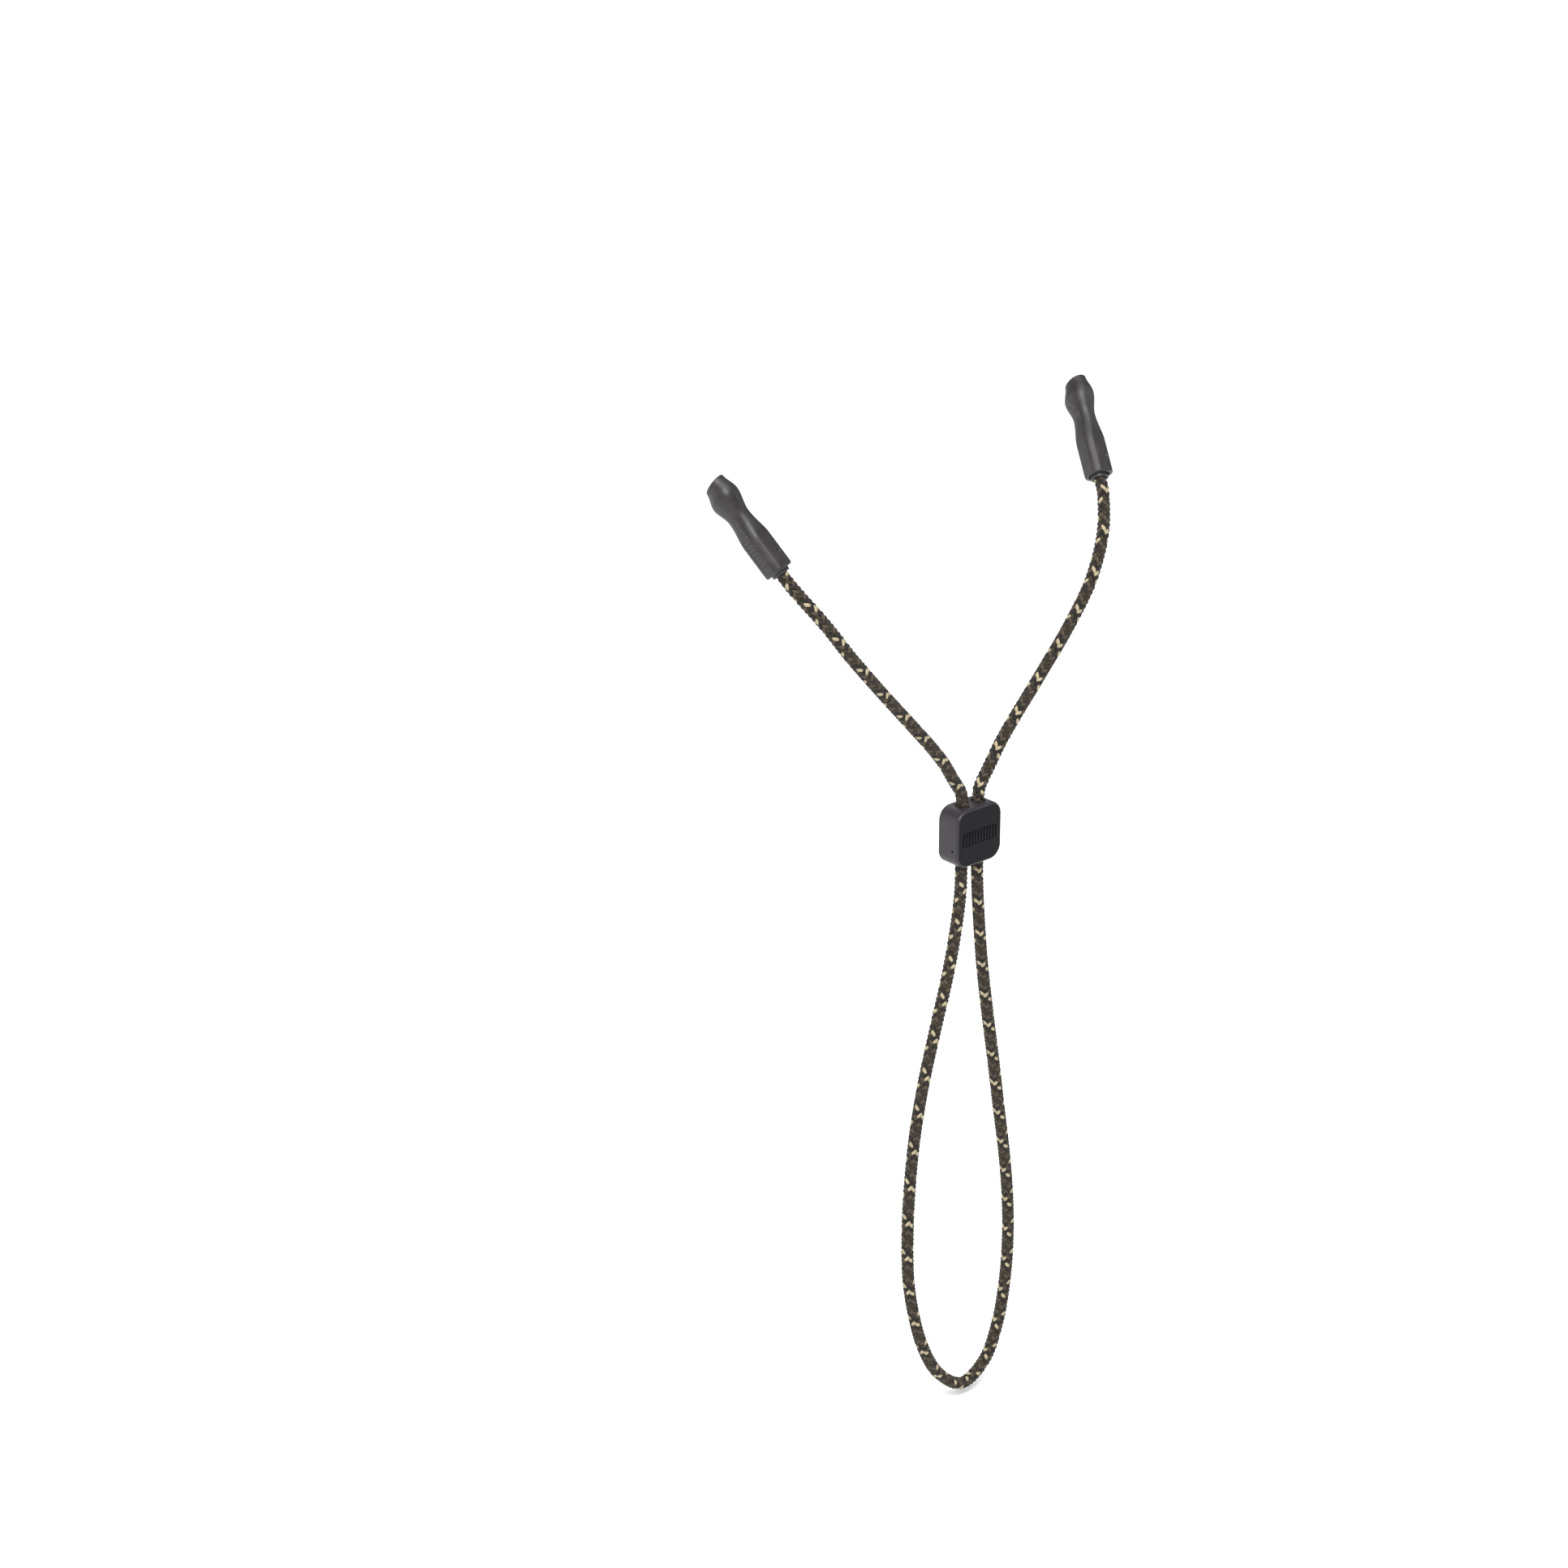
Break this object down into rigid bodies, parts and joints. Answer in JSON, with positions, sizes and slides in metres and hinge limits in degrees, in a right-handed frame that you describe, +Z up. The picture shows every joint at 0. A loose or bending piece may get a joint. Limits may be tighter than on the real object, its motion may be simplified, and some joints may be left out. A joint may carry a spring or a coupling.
{
  "type": "eyeglass retainer strap",
  "caption": "Cord that keeps eyeglasses round the neck: a rubber socket grip on each temple tip, a patterned braided cord and a friction slider that sets the loop.",
  "frame": {"origin": "midway between the mouth centres of the two temple grips", "axes": "+X to the wearer's right, +Y forward towards the lenses, +Z up; the loop hangs down along -Z"},
  "size_m": [0.1312, 0.033, 0.2686],
  "materials": {
    "grip_rubber": "matte moulded rubber, charcoal",
    "collar_rubber": "matte moulded rubber, charcoal",
    "crimp_metal": "plain crimped sleeve",
    "braided_cord": "round braid in black, olive, brown and cream yarns",
    "slider_rubber": "satin moulded rubber, near black"
  },
  "bodies": {
    "grips": {"left_grip": "grip_rubber", "left_exit_collar": "collar_rubber", "left_cord_crimp": "crimp_metal", "left_cord_end": "braided_cord", "right_grip": "grip_rubber", "right_exit_collar": "collar_rubber", "right_cord_crimp": "crimp_metal", "right_cord_end": "braided_cord"},
    "cord": {"left_cord_upper": "braided_cord", "left_cord_lower": "braided_cord", "right_cord_upper": "braided_cord", "right_cord_lower": "braided_cord", "cord_loop": "braided_cord"},
    "slider": {"slider_block": "slider_rubber"}
  },
  "joints": [
    {"name": "strap_swing", "type": "hinge", "parent": "grips", "child": "cord", "pos_m": [0, -0.0225, -0.034], "axis": [1, 0, 0], "range_deg": [-70, 60], "deforming": ["left_cord_upper", "right_cord_upper"]},
    {"name": "slider_slide", "type": "slide", "parent": "cord", "child": "slider", "axis": [0, 0, 1], "range_m": [-0.09, 0.03], "deforming": ["left_cord_lower", "right_cord_lower", "cord_loop"]}
  ]
}
